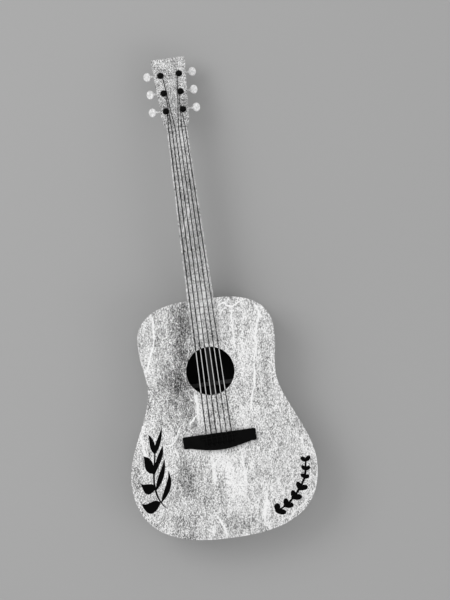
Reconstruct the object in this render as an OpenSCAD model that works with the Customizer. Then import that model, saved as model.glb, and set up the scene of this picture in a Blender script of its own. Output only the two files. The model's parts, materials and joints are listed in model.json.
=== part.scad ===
// Acoustic guitar of the dreadnought pattern, whole, with strings and machine heads.
// It lies on its back. The origin is the middle of the back's outer face:
// +X to the treble side, +Y to the head, +Z up through the soundboard.

/* [Body] */
// Length of the body, tail to neck joint
body_len = 508; // [480:2:540]
// Width across the lower bout
lower_bout = 395; // [370:5:420]
// Width across the waist
waist = 273; // [255:1:287]
// Width across the upper bout
upper_bout = 290; // [275:1:310]
// Depth of the body, back face to soundboard face
body_depth = 105; // [95:1:125]
// Thickness of the soundboard
top_t = 3; // [2.5:0.1:3.6]
// Thickness of the back
back_t = 2.8; // [2.3:0.1:3.4]
// Thickness of the bent sides
side_t = 2.2; // [1.8:0.1:2.6]
// Radius of the soundhole
hole_r = 50.8; // [46:0.1:53]
// Width of the lining strips inside the rim
lining_w = 6; // [5:0.5:7]
// Height of the lining strips
lining_h = 14; // [11:0.5:17]

/* [Bracing] */
// Width of the X braces
brace_w = 8; // [6.5:0.5:9]
// Height of the X braces and the upper back braces
brace_h = 15; // [12:0.5:18]
// Angle of each X brace from the centre line
brace_angle = 49; // [47:0.5:51]

/* [Neck] */
// Length of the open string, nut to saddle, before compensation
scale_len = 650; // [628:1:660]
// Width of the neck at the nut
nut_w = 43; // [42:0.5:46]
// Width of the neck where it meets the body
joint_w = 56.2; // [54:0.1:58]
// Thickness of the wood under the fretboard, at the nut
neck_t = 14; // [13:0.5:16]
// Thickness of the fretboard
board_t = 6.3; // [5.5:0.1:7]
// Tilt of the headstock
head_angle = 14; // [11:0.5:16]
// Length of the headstock from the nut
head_len = 156.6; // [150:0.1:170]
// Thickness of the headstock
head_t = 15; // [14:0.5:16]
// Half width of the headstock at the top
head_top = 36.5; // [33:0.5:38]
// Half width of the headstock at its shoulders
head_low = 28.8; // [28:0.1:31]

/* [Strings] */
// Spacing of the strings at the nut
nut_gap = 7.12; // [6.8:0.01:7.4]
// Spacing of the strings at the saddle
saddle_gap = 10.8; // [10:0.1:11.4]
// Height of the saddle's crown over the soundboard
saddle_h = 11.5; // [11:0.1:13]

/* [Machine heads] */
// Distance between posts along the head
post_pitch = 40; // [36:0.5:42]
// Distance from the nut's rear edge to the first post
first_post = 40; // [38:0.5:44]
// Number of teeth on the gear, for one thread on the worm
gear_teeth = 14; // [13:1:15]
// Spacing of the worm's threads
worm_pitch = 2; // [1.9:0.05:2.1]
// Distance from the post to the middle of the button
button_out = 28.4; // [26:0.2:31]

/* [Hidden] */
$fn = 64;
eps = 0.05;
half_len = body_len / 2;
bout_y = -0.2287 * body_len;
waist_y = 0.1561 * body_len;
upper_y = 0.3355 * body_len;
flat_half = 28;
curve_steps = 22;
hole_y = 0.2 * body_len;
under_top = body_depth - top_t;

// Blocks and neck joint
neck_block_w = 75;
neck_block_l = 60;
tail_block_w = 70;
tail_block_l = 19;
block_rear = half_len - side_t - neck_block_l;
tail_front = -half_len + side_t + tail_block_l;
tenon_w = 20;
tenon_l = 18;
tenon_low = 25;
tenon_high = under_top - 5;
bolt_z = [tenon_low + 16, tenon_high - 18];

// Neck and fretboard
nut_y = half_len + scale_len * (1 - pow(2, -14 / 12));
nut_l = 5;
head_y = nut_y + nut_l;
board_end = hole_y + hole_r + 12.1;
board_top = body_depth + board_t;
heel_z = 5;
heel_run = 18;
rod_w = 9.5;

// Bridge
saddle_y = nut_y - scale_len - 3;
saddle_turn = 2.5;
bridge_half = 77.5;
bridge_h = 8.5;
bridge_front = 8.5;
belly_half = 68;
belly_depth = 10.5;
pin_y = saddle_y - 15;
plate_t = 3;
pin_r = 2.6;
pin_len = 24;
crown_r = 2.2;
saddle_top = body_depth + saddle_h;
cross_y = hole_y - hole_r - 29;

// Strings
slot_z = board_top + 1.6;
string_d = [1.5, 1.55, 1.6, 1.7, 1.8, 1.9];

// Machine heads
post_x = [18.3, 18, 19.8];
post_r = 3;
waist_r = 2.6;
gear_r = gear_teeth * worm_pitch / (2 * PI);
worm_r = 2.3;
tooth_out = 0.55;
worm_off = gear_r + worm_r;
gear_w = 3.2;
plate_thick = 1.2;
gear_z = -head_t - plate_thick - worm_r - tooth_out - 0.35;
ear_in = 5;
ear_t = 1.2;
journal_r = 1.6;

// Show one node, or "all"

// ---- outline of the body ----

half_curves = [
  [
    [0, -half_len],
    [0.187 * lower_bout, -half_len],
    [lower_bout / 2, bout_y - 0.947 * (bout_y + half_len)],
    [lower_bout / 2, bout_y]
  ],
  [
    [lower_bout / 2, bout_y],
    [lower_bout / 2, bout_y + 0.35 * (waist_y - bout_y)],
    [waist / 2, waist_y - 0.271 * (waist_y - bout_y)],
    [waist / 2, waist_y]
  ],
  [
    [waist / 2, waist_y],
    [waist / 2, waist_y + 0.468 * (upper_y - waist_y)],
    [upper_bout / 2, upper_y - 0.499 * (upper_y - waist_y)],
    [upper_bout / 2, upper_y]
  ],
  [
    [upper_bout / 2, upper_y],
    [upper_bout / 2, upper_y + 0.112 * (half_len - upper_y)],
    [flat_half + 1.063 * (upper_bout / 2 - flat_half), half_len],
    [flat_half, half_len]
  ]
];

function unit(v) = v / norm(v);

function along(c, t) =
  c[0] * pow(1 - t, 3) + c[1] * 3 * t * pow(1 - t, 2) + c[2] * 3 * t * t * (1 - t) + c[3] * pow(t, 3);

function heading(c, t) =
  unit((c[1] - c[0]) * pow(1 - t, 2) + (c[2] - c[1]) * 2 * t * (1 - t) + (c[3] - c[2]) * t * t);

// A point on the outline, moved d towards the inside
function inset_point(c, t, d) =
  let (h = heading(c, t)) along(c, t) - d * [h.y, -h.x];

// The right half of the outline, tail to neck, moved d inwards
function half_outline(d) = concat(
  [for (c = half_curves) for (i = [0:curve_steps - 1]) inset_point(c, i / curve_steps, d)],
  [[flat_half, half_len - d]]
);

function whole_outline(d) =
  let (h = half_outline(d))
  concat(h, [for (i = [len(h) - 1:-1:1]) [-h[i].x, h[i].y]]);

module plate_shape(d) {
  polygon(whole_outline(d));
}

// A half ring of the outline between two insets, cut square at the centre line
module half_ring(outer, inner) {
  out = half_outline(outer);
  in = half_outline(inner);
  polygon(concat(
    out,
    [[0, half_len - outer], [0, half_len - inner]],
    [for (i = [len(in) - 1:-1:0]) in[i]]
  ));
}

// ---- body ----

module pin_holes() {
  for (x = [-2.5:1:2.5])
    translate([x * saddle_gap, pin_y, body_depth + bridge_h - pin_len])
      cylinder(r1 = pin_r - 0.4 + 2 * eps, r2 = pin_r + 2 * eps, h = pin_len + 0.01);
}

module soundboard() {
  color("#c9c6c0")
    difference() {
      translate([0, 0, under_top]) linear_extrude(top_t) plate_shape(0);
      translate([0, hole_y, under_top - 1]) cylinder(r = hole_r, h = top_t + 2, $fn = 128);
      pin_holes();
    }
}

module back_plate() {
  color("#b9b6b0") linear_extrude(back_t) plate_shape(0);
}

module tenon_slot() {
  translate([-tenon_w / 2 - eps, half_len - tenon_l - 0.1, tenon_low - eps])
    cube([tenon_w + 2 * eps, tenon_l + 5, tenon_high - tenon_low + 2 * eps]);
}

module side(s) {
  color("#a9a6a0")
    difference() {
      scale([s, 1, 1])
        translate([0, 0, back_t])
          linear_extrude(under_top - back_t) half_ring(0, side_t);
      tenon_slot();
    }
}

module neck_block() {
  color("#9a7a50")
    difference() {
      intersection() {
        translate([0, 0, back_t]) linear_extrude(under_top - back_t) plate_shape(side_t);
        translate([-neck_block_w / 2, block_rear, 0]) cube([neck_block_w, 100, body_depth]);
      }
      tenon_slot();
      for (z = bolt_z)
        translate([0, block_rear - 1, z]) rotate([-90, 0, 0]) cylinder(r = 3.2, h = neck_block_l);
    }
}

module tail_block() {
  color("#9a7a50")
    intersection() {
      translate([0, 0, back_t]) linear_extrude(under_top - back_t) plate_shape(side_t);
      translate([-tail_block_w / 2, tail_front - 60, 0]) cube([tail_block_w, 60, body_depth]);
    }
}

// Two strips glued in the corner of the rim, stopping at the blocks
module linings(z) {
  color("#c0a070")
    for (s = [-1, 1])
      difference() {
        scale([s, 1, 1])
          translate([0, 0, z]) linear_extrude(lining_h) half_ring(side_t, side_t + lining_w);
        translate([-neck_block_w / 2 - eps, block_rear, 0]) cube([neck_block_w + 2 * eps, 100, 200]);
        translate([-tail_block_w / 2 - eps, -half_len, 0]) cube([tail_block_w + 2 * eps, 60, 200]);
      }
}

module top_linings() {
  linings(under_top - lining_h);
}

module back_linings() {
  linings(back_t);
}

// ---- bracing ----

// Keeps only what lies inside the linings
module inside_linings() {
  intersection() {
    linear_extrude(body_depth) plate_shape(side_t + lining_w + eps);
    children();
  }
}

// A bar under the soundboard from a point, one way and the other, tapered at both ends
module top_bar(start, angle, back, fore, w, h) {
  translate([start.x, start.y, under_top])
    rotate([0, 0, angle])
      rotate([90, 0, 0])
        translate([0, 0, -w / 2])
          linear_extrude(w)
            polygon([
              [-back, 0], [-back, -h * 0.25], [-back * 0.7, -h],
              [fore * 0.7, -h], [fore, -h * 0.25], [fore, 0]
            ]);
}

module x_bar(s) {
  top_bar([0, cross_y], 90 - s * brace_angle, 0.53 * body_len, 0.4 * body_len, brace_w, brace_h);
}

// The other bar's width, above or below the middle of the lap joint
module lap(s, low, high) {
  translate([0, cross_y, 0])
    rotate([0, 0, 90 - s * brace_angle])
      translate([-30, -brace_w / 2 - eps, low])
        cube([60, brace_w + 2 * eps, high - low]);
}

module x_brace(s) {
  mid = under_top - brace_h / 2;
  color("#c8a878")
    inside_linings()
      difference() {
        x_bar(s);
        if (s > 0) lap(-s, 0, mid + eps / 2);
        if (s < 0) lap(-s, mid - eps / 2, body_depth);
      }
}

// Half the room between the lower legs of the X at a given y
function between_legs(y) =
  (cross_y - y) * tan(brace_angle) - brace_w / 2 / cos(brace_angle) - 0.1;

module bridge_plate() {
  high = pin_y + 30;
  low = pin_y - 9;
  color("#a07850")
    difference() {
      translate([0, 0, under_top - plate_t])
        linear_extrude(plate_t)
          polygon([
            [-between_legs(low), low], [between_legs(low), low],
            [between_legs(high), high], [-between_legs(high), high]
          ]);
      pin_holes();
    }
}

module upper_brace() {
  y = (hole_y + hole_r + block_rear) / 2 + 1;
  color("#c8a878")
    inside_linings() top_bar([0, y], 0, 0.33 * body_len, 0.33 * body_len, 14, brace_h);
}

// Bars start beside the X bar, at a distance down its leg
function leg_point(s, up, dist) =
  [s * dist * sin(brace_angle), cross_y + up * dist * cos(brace_angle)];

module tone_bars() {
  color("#c8a878")
    difference() {
      inside_linings()
        for (dist = [0.27, 0.375])
          top_bar(leg_point(-1, -1, dist * body_len), -35, 0, 0.75 * body_len, 7, 12);
      wide_legs();
    }
}

// Both X bars with a little room around them, to cut the ends that butt on them
module wide_legs() {
  for (s = [-1, 1])
    top_bar(
      [0, cross_y], 90 - s * brace_angle, body_len, body_len, brace_w + 4 * eps, 3 * brace_h
    );
}

module finger_braces() {
  color("#c8a878")
    difference() {
      inside_linings()
        for (s = [-1, 1])
          for (dist = [0.13, 0.215])
            top_bar(
              leg_point(s, 1, dist * body_len), s > 0 ? -18 : 198, 0, 0.26 * body_len, 6, 9
            );
      wide_legs();
    }
}

back_brace_y = [0.322, 0.142, -0.06, -0.266] * body_len;
back_brace_w = [8, 8, 16, 16];
back_brace_h = [brace_h, brace_h, 0.7 * brace_h, 0.7 * brace_h];

module back_braces() {
  color("#c8a878")
    inside_linings()
      for (i = [0:3])
        translate([-lower_bout / 2, back_brace_y[i] - back_brace_w[i] / 2, back_t])
          cube([lower_bout, back_brace_w[i], back_brace_h[i]]);
}

module back_strip() {
  color("#c8a878")
    difference() {
      translate([-7, tail_front + eps, back_t])
        cube([14, block_rear - tail_front - 2 * eps, 2]);
      for (i = [0:3])
        translate([-20, back_brace_y[i] - back_brace_w[i] / 2 - eps, 0])
          cube([40, back_brace_w[i] + 2 * eps, 20]);
    }
}

// ---- neck ----

function neck_w(y) = nut_w + (joint_w - nut_w) * (nut_y - y) / (nut_y - half_len);

// Half width of the headstock, a distance v up its face
function head_half(v) =
  v < 24
    ? neck_w(head_y) / 2 + (head_low - neck_w(head_y) / 2) * sin(90 * v / 24)
    : head_low + (head_top - head_low) * (v - 24) / (head_len - 24);

section_steps = 20;

// A rounded section: half width, depth and squareness
function round_section(hw, d, n) = [
  for (i = [0:section_steps])
    let (a = 180 * i / section_steps)
    [hw * sign(cos(a)) * pow(abs(cos(a)), 2 / n), -d * pow(abs(sin(a)), 2 / n)]
];

// The heel's section: it narrows from the board down to a flat foot
function heel_section(hw, d, foot) = [
  for (i = [0:section_steps])
    let (
      u = 1 - abs(1 - 2 * i / section_steps),
      s = i <= section_steps / 2 ? 1 : -1,
      q = min(u / 0.8, 1)
    )
    [
      s * (u < 0.8 ? foot + (hw - foot) * pow(1 - q, 1.5) : foot * (1 - u) / 0.2),
      -d * q
    ]
];

// Stations along the neck: [distance, tilt, section]. Distances run up the face after the nut.
heel_d = body_depth - heel_z;
low_t = neck_t + 3;
arc_run = 60;

function shaft_depth(y) = neck_t + (low_t - neck_t) * (nut_y - y) / (nut_y - half_len);

heel_foot = [[0, 14], [0.33, 13.6], [0.66, 12.6], [0.9, 11], [1, 9]];

heel_stations = [
  for (f = heel_foot)
    [half_len + heel_run * f[0], 0, heel_section(neck_w(half_len) / 2, heel_d, f[1])]
];

arc_stations = [
  for (a = [9:9:90])
    let (
      y = half_len + heel_run + arc_run * (1 - cos(a)),
      k = 1 - sin(a),
      hw = neck_w(y) / 2,
      d = shaft_depth(y) + (heel_d - shaft_depth(y)) * k
    )
    [y, 0, heel_section(hw, d, 9) * k + round_section(hw, d, 2.3) * (1 - k)]
];

shaft_stations = [
  for (f = [0.2, 0.4, 0.6, 0.8, 0.93])
    let (y = half_len + heel_run + arc_run + (nut_y - half_len - heel_run - arc_run) * f)
    [y, 0, round_section(neck_w(y) / 2, shaft_depth(y), 2.3)]
];

head_stations = [
  for (s = [
    [-5, 0.32, 2.5], [0, 0.5, 3], [4, 0.64, 4], [8, 0.78, 6], [12, 0.9, 8], [16, 1, 10],
    [20, 1, 12], [24, 1, 12], [60, 1, 12], [110, 1, 12]
  ])
    [s[0], s[1] * head_angle, round_section(head_half(max(s[0], 0)), head_t, s[2])]
];

tip_stations = [
  for (s = [[3.6, 0], [1.8, 0.5], [0.7, 1.4], [0, 3.2]])
    [head_len - s[0], head_angle, round_section(head_half(head_len) - s[1], head_t, 12)]
];

// A point on the head: across, up the face and off the face
function on_face(x, v, w) = [
  x,
  head_y + v * cos(head_angle) + w * sin(head_angle),
  body_depth - v * sin(head_angle) + w * cos(head_angle)
];

// Section points set out at a station, square to a tilt that may lead the face's own
function shaft_ring(st) = [for (p = st[2]) [p.x, st[0], body_depth + p.y]];

function head_ring(st) =
  let (
    v = st[0],
    c = v > 0 ? on_face(0, v, 0) : [0, head_y + v, body_depth]
  )
  [for (p = st[2]) c + [p.x, p.y * sin(st[1]), p.y * cos(st[1])]];

neck_rings = concat(
  [for (s = heel_stations) shaft_ring(s)],
  [for (s = arc_stations) shaft_ring(s)],
  [for (s = shaft_stations) shaft_ring(s)],
  [for (s = head_stations) head_ring(s)],
  [for (s = tip_stations) head_ring(s)]
);

// A closed skin through rings of equal length; turn is 1 or -1 for the way the rings run
module skin(rings, turn) {
  n = len(rings[0]);
  m = len(rings);
  points = [for (r = rings) for (p = r) p];
  side_faces = [
    for (i = [0:m - 2])
      for (j = [0:n - 1])
        let (
          a = i * n + j,
          b = i * n + (j + 1) % n,
          c = b + n,
          d = a + n
        )
        each turn > 0 ? [[a, b, c], [a, c, d]] : [[c, b, a], [d, c, a]]
  ];
  start_cap = [for (j = [0:n - 1]) turn > 0 ? n - 1 - j : j];
  end_cap = [for (j = [0:n - 1]) (m - 1) * n + (turn > 0 ? j : n - 1 - j)];
  polyhedron(points = points, faces = concat(side_faces, [start_cap, end_cap]));
}

module at_head(x, v) {
  translate([0, head_y, body_depth]) rotate([-head_angle, 0, 0]) translate([x, v, 0]) children();
}

// Which side of the centre line a string is on, and which post up the head it goes to
function side_of(k) = k <= 3 ? 1 : -1;

function rank_of(k) = k <= 3 ? k - 1 : 6 - k;

// Puts a machine head, drawn for the treble side, at its own post
module at_post(k) {
  at_head(0, first_post + rank_of(k) * post_pitch)
    scale([side_of(k), 1, 1])
      translate([post_x[rank_of(k)], 0, 0])
        children();
}

screw_v = [-9.5, 15.5];

module neck() {
  color("#bdbab4")
    difference() {
      union() {
        skin(neck_rings, -1);
        translate([-tenon_w / 2, half_len - tenon_l, tenon_low])
          cube([tenon_w, tenon_l + 4, tenon_high - tenon_low]);
      }
      translate([-rod_w / 2 - eps, half_len + 6, body_depth - rod_w - eps])
        cube([rod_w + 2 * eps, nut_y - half_len - 18, rod_w + 5]);
      for (z = bolt_z)
        translate([0, half_len - tenon_l - 1, z]) rotate([-90, 0, 0]) cylinder(r = 4.52, h = 18);
      for (k = [1:6])
        at_post(k) {
          translate([0, 0, -head_t - 2]) cylinder(r = 4.3, h = head_t + 4);
          for (v = screw_v) translate([0, v, -head_t - 2]) cylinder(r = 1.12, h = 9);
        }
    }
}

module neck_bolts() {
  color("#b0a890")
    for (z = bolt_z)
      translate([0, block_rear, z])
        rotate([-90, 0, 0]) {
          // bolt
          translate([0, 0, -5.2]) cylinder(r = 5.7, h = 4, $fn = 6);
          translate([0, 0, -1.3]) cylinder(r = 3, h = neck_block_l - 2);
          // washer
          translate([0, 0, -1.18])
            difference() {
              cylinder(r = 8, h = 1.16);
              translate([0, 0, -1]) cylinder(r = 3.1, h = 4);
            }
          // threaded insert in the tenon
          translate([0, 0, neck_block_l + side_t - tenon_l + 0.5])
            difference() {
              cylinder(r = 4.5, h = 15);
              translate([0, 0, -1]) cylinder(r = 3.02, h = 17);
            }
        }
}

module truss_rod() {
  color("#888888")
    translate([-rod_w / 2, half_len + 6 + eps, body_depth - rod_w - 0.02])
      difference() {
        cube([rod_w, nut_y - half_len - 18 - 2 * eps, rod_w]);
        translate([1.2, -1, 1.2])
          cube([rod_w - 2.4, nut_y - half_len, rod_w - 2.4]);
      }
}

function fret_y(n) = nut_y - scale_len * (1 - pow(2, -n / 12));

fret_ys = [for (n = [1:24]) if (fret_y(n) > board_end + 4) fret_y(n)];

module fretboard() {
  color("#b5b2ac")
    difference() {
      translate([0, 0, body_depth])
        linear_extrude(board_t)
          polygon([
            [neck_w(board_end) / 2, board_end], [neck_w(nut_y) / 2, nut_y],
            [-neck_w(nut_y) / 2, nut_y], [-neck_w(board_end) / 2, board_end]
          ]);
      for (y = fret_ys)
        translate([-50, y - 0.3, board_top - 1.7]) cube([100, 0.6, 5]);
    }
}

module frets() {
  color("#d0d0cc")
    for (y = fret_ys)
      translate([-neck_w(y) / 2 + 0.2, y, board_top])
        rotate([90, 0, 90])
          linear_extrude(neck_w(y) - 0.4) {
            intersection() {
              circle(r = 1.15);
              translate([-2, 0]) square([4, 1.1]);
            }
            translate([-0.275, -1.6]) square([0.55, 1.8]);
          }
}

module nut() {
  color("#d8d5ce")
    difference() {
      translate([-neck_w(nut_y) / 2 + 0.1, nut_y + 0.02, body_depth])
        cube([neck_w(nut_y) - 0.4, nut_l - 0.02, slot_z - body_depth + 1.1]);
      for (k = [1:6])
        translate([nut_x(k) - string_d[k - 1] / 2 - 0.1, nut_y - 1, slot_z])
          cube([string_d[k - 1] + 0.2, nut_l + 2, 5]);
    }
}

module heel_cap() {
  right = [for (f = heel_foot) [f[1] - 0.2, half_len + heel_run * f[0]]];
  left = [for (i = [len(right) - 1:-1:0]) [-right[i].x, right[i].y]];
  color("#3a3835")
    translate([0, 0, heel_z - 2]) linear_extrude(2) polygon(concat(right, left));
}

// ---- bridge ----

function belly(x) = belly_depth * pow(max(0, cos(90 * x / belly_half)), 1.2);

module bridge_outline() {
  rear = bridge_front - 25.4;
  polygon(concat(
    [
      [-bridge_half + 2, bridge_front], [-bridge_half + 0.6, bridge_front - 0.6],
      [-bridge_half, bridge_front - 2], [-bridge_half, rear + 2],
      [-bridge_half + 0.6, rear + 0.6], [-bridge_half + 2, rear]
    ],
    [for (x = [-belly_half:4:belly_half]) [x, rear - belly(x)]],
    [
      [bridge_half - 2, rear], [bridge_half - 0.6, rear + 0.6],
      [bridge_half, rear + 2], [bridge_half, bridge_front - 2],
      [bridge_half - 0.6, bridge_front - 0.6], [bridge_half - 2, bridge_front]
    ]
  ));
}

// Height of the bridge along its length, in XZ
module bridge_profile() {
  wing = [
    [bridge_half + 1, 3.2], [64, 3.4], [60, 3.8], [56, 4.6], [52, 5.9], [48.5, 7.6], [46, 8.3],
    [43, bridge_h]
  ];
  polygon(concat(
    [[-bridge_half - 1, 0], [bridge_half + 1, 0]],
    wing,
    [for (i = [len(wing) - 1:-1:0]) [-wing[i].x, wing[i].y]]
  ));
}

module bridge() {
  color("#151515")
    difference() {
      translate([0, saddle_y, body_depth])
        intersection() {
          linear_extrude(20) bridge_outline();
          translate([0, 50, 0]) rotate([90, 0, 0]) linear_extrude(100) bridge_profile();
        }
      translate([0, saddle_y, body_depth + bridge_h - 4.5])
        rotate([0, 0, saddle_turn])
          translate([-37.5, -1.52, 0]) cube([75, 3.04, 20]);
      pin_holes();
    }
}

module saddle() {
  low = body_depth + bridge_h - 4.5;
  color("#1c1c1c")
    translate([0, saddle_y, 0])
      rotate([0, 0, saddle_turn])
        translate([-37.4, 0, 0])
          rotate([90, 0, 90])
            linear_extrude(74.8)
              intersection() {
                translate([-1.5, low]) square([3, 20]);
                union() {
                  translate([-1.5, low]) square([3, saddle_top - low - crown_r]);
                  translate([0, saddle_top - crown_r]) circle(r = crown_r);
                }
              }
}

module bridge_pins() {
  color("#101010")
    for (k = [1:6])
      translate([saddle_x(k), pin_y, body_depth + bridge_h])
        difference() {
          rotate_extrude()
            polygon([
              [0, -pin_len], [pin_r - 0.4, -pin_len], [pin_r, 0], [3.8, 0], [3.8, 1.1],
              [3.4, 2.2], [2.4, 3.1], [1.1, 3.5], [0, 3.6]
            ]);
          translate([-string_d[k - 1] / 2 - 0.15, 0.3, -pin_len - 1])
            cube([string_d[k - 1] + 0.3, 6, pin_len + 6]);
        }
}

// ---- strings ----

function nut_x(k) = side_of(k) * (2.5 - rank_of(k)) * nut_gap;

function saddle_x(k) = side_of(k) * (2.5 - rank_of(k)) * saddle_gap;

// Where the saddle's crown lies for a string at x
function crown_y(x) = saddle_y + x * tan(saddle_turn);

// Ball end, up beside the pin, over the saddle
function tail_path(k) =
  let (
    r = string_d[k - 1] / 2,
    x = saddle_x(k),
    ball_z = under_top - plate_t - 1.8,
    bend = body_depth + bridge_h,
    crown_z = saddle_top - crown_r
  )
  concat(
    [
      [x, pin_y + 2.45, ball_z], [x, pin_y + 1.85, ball_z + 0.1],
      [x, pin_y + 1.45, ball_z + 0.4], [x, pin_y + 1.3, ball_z + 1],
      [x, pin_y + 1.3, bend - 1]
    ],
    [for (a = [180, 155, 130, 105]) [x, pin_y + 2.6 + 1.3 * cos(a), bend + 1.3 * sin(a)]],
    [for (a = [101, 90])
      [x, crown_y(x) + (crown_r + r + 0.03) * cos(a), crown_z + (crown_r + r + 0.03) * sin(a)]]
  );

// The wraps on the post, seen as on the treble side: they run clockwise from the inner side
wrap_step = 22.5;
wrap_turns = 2.25;

function wrap_path(k) =
  let (
    d = string_d[k - 1],
    big = waist_r + 0.12 + d / 2,
    c = [post_x[rank_of(k)], first_post + rank_of(k) * post_pitch],
    from = [abs(nut_x(k)), 0] - c,
    start = atan2(from.y, from.x) - acos(big / norm(from)),
    rise = d + 0.2
  )
  [
    for (i = [0:wrap_turns * 360 / wrap_step])
      let (a = start - i * wrap_step)
      on_face(c.x + big * cos(a), c.y + big * sin(a), 1.7 + d / 2 + rise * i * wrap_step / 360)
  ];

function string_path(k) =
  let (r = string_d[k - 1] / 2, z = slot_z + r + 0.01, x = abs(nut_x(k)))
  concat(
    [for (p = tail_path(k)) [abs(p.x), p.y, p.z]],
    [[x, nut_y, z], [x, head_y, z - 0.02]],
    wrap_path(k)
  );

function path_heading(path, i) =
  let (
    n = len(path),
    fore = i < n - 1 ? unit(path[i + 1] - path[i]) : [0, 0, 0],
    back = i > 0 ? unit(path[i] - path[i - 1]) : [0, 0, 0]
  )
  unit(fore + back);

// Direction across the string: X on the straight run, square to the post in the wraps
function across(path, i, wraps_from) =
  let (t = path_heading(path, i), up = [0, sin(head_angle), cos(head_angle)])
  i < wraps_from ? unit([1, 0, 0] - t.x * t) : unit(cross(t, up));

function string_rings(k) =
  let (path = string_path(k), r = string_d[k - 1] / 2, wraps_from = len(path) - len(wrap_path(k)))
  [
    for (i = [0:len(path) - 1])
      let (
        n1 = across(path, i, wraps_from),
        n2 = cross(n1, path_heading(path, i))
      )
      [for (j = [0:7]) path[i] + r * (cos(45 * j + 22.5) * n1 + sin(45 * j + 22.5) * n2)]
  ];

// The string and the ball at its tail
module guitar_string(k) {
  color("#181818")
    scale([side_of(k), 1, 1]) {
      skin(string_rings(k), 1);
      translate([abs(saddle_x(k)) - 1.8, pin_y + 4.2, under_top - plate_t - 1.8])
        rotate([0, 90, 0])
          cylinder(r = 1.75, h = 3.6);
    }
}

// ---- machine heads ----

module tuner_bushings() {
  color("#141414")
    for (k = [1:6])
      at_post(k)
        difference() {
          union() {
            cylinder(r = 7, h = 1.2);
            translate([0, 0, -12]) cylinder(r = 4.25, h = 12.5);
          }
          translate([0, 0, -13]) cylinder(r = post_r + 0.04, h = 20);
        }
}

module tuner_screws() {
  color("#888888")
    for (k = [1:6])
      at_post(k)
        for (v = screw_v)
          translate([0, v, -head_t - plate_thick])
            difference() {
              union() {
                translate([0, 0, -0.9]) cylinder(r = 2, h = 0.9);
                translate([0, 0, -0.1]) cylinder(r = 1.1, h = 8);
              }
              translate([-3, -0.25, -1.2]) cube([6, 0.5, 0.8]);
            }
}

// The plate, with two ears that carry the worm's shaft
module tuner_plate(k) {
  color("#9a9a98")
    at_post(k)
      difference() {
        union() {
          translate([-7, -12, -head_t - plate_thick]) cube([14, 30, plate_thick]);
          for (s = [-1, 1])
            translate([s * (ear_in + ear_t / 2), worm_off, 0])
              translate([-ear_t / 2, -3.2, gear_z - 3])
                cube([ear_t, 6.4, -head_t - gear_z + 3 - 0.2]);
        }
        translate([0, 0, -head_t - 5]) cylinder(r = post_r + 0.06, h = 10);
        for (v = screw_v) translate([0, v, -head_t - 5]) cylinder(r = 1.15, h = 10);
        translate([-20, worm_off, gear_z]) rotate([0, 90, 0]) cylinder(r = journal_r + 0.04, h = 40);
      }
}

// A round bar with one swelling, which makes the thread when it is twisted
function worm_radius(a) =
  let (b = abs(a), low = worm_r - 0.65, high = worm_r + tooth_out)
  b < 40 ? high : b > 75 ? low : high + (low - high) * (b - 40) / 35;

module worm_profile() {
  polygon([for (a = [-180:22.5:157.5]) worm_radius(a) * [cos(a), sin(a)]]);
}

module worm_shaft(k) {
  turns = 3;
  run = turns * worm_pitch;
  color("#b0b0ae")
    at_post(k)
      translate([0, worm_off, gear_z])
        rotate([0, 90, 0]) {
          translate([0, 0, -run / 2])
            linear_extrude(height = run, twist = -360 * turns, slices = 12 * turns, $fn = 8)
              rotate([0, 0, -90 + 180 * (turns + 1)])
                worm_profile();
          translate([0, 0, -ear_in - ear_t - 0.8]) cylinder(r = journal_r, h = ear_t + 1.2);
          translate([0, 0, -ear_in + 0.1]) cylinder(r = 2.4, h = ear_in - run / 2);
          translate([0, 0, run / 2 - 0.1]) cylinder(r = 2.4, h = ear_in - run / 2);
          translate([0, 0, ear_in - 0.3]) cylinder(r = journal_r, h = button_out - ear_in - 3);
          translate([0, 0, ear_in + ear_t + 0.1]) cylinder(r = 2.4, h = 1.4);
        }
}

module button(k) {
  a = 8.2;
  b = 9.6;
  t = 5.6;
  color("#d9d6cf")
    at_post(k)
      translate([button_out, worm_off, gear_z])
        difference() {
          union() {
            for (s = [[t, 0.86], [t * 0.72, 0.95], [t * 0.4, 1]])
              translate([0, 0, -s[0] / 2])
                linear_extrude(s[0])
                  polygon([for (i = [0:9:351]) [a * s[1] * cos(i), b * s[1] * sin(i)]]);
            translate([-a - 2.6, 0, 0]) rotate([0, 90, 0]) cylinder(r = 2.7, h = 5);
          }
          translate([-a - 4, 0, 0]) rotate([0, 90, 0]) cylinder(r = journal_r + 0.01, h = a + 1.15);
        }
}

module gear_shape() {
  out = gear_r + tooth_out;
  low = gear_r - 0.7;
  step = 360 / gear_teeth;
  polygon([
    for (i = [0:gear_teeth - 1])
      for (q = [[-6.9, low], [-2.6, out], [2.6, out], [6.9, low]])
        q[1] * [cos(i * step + 90 + q[0]), sin(i * step + 90 + q[0])]
  ]);
}

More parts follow.
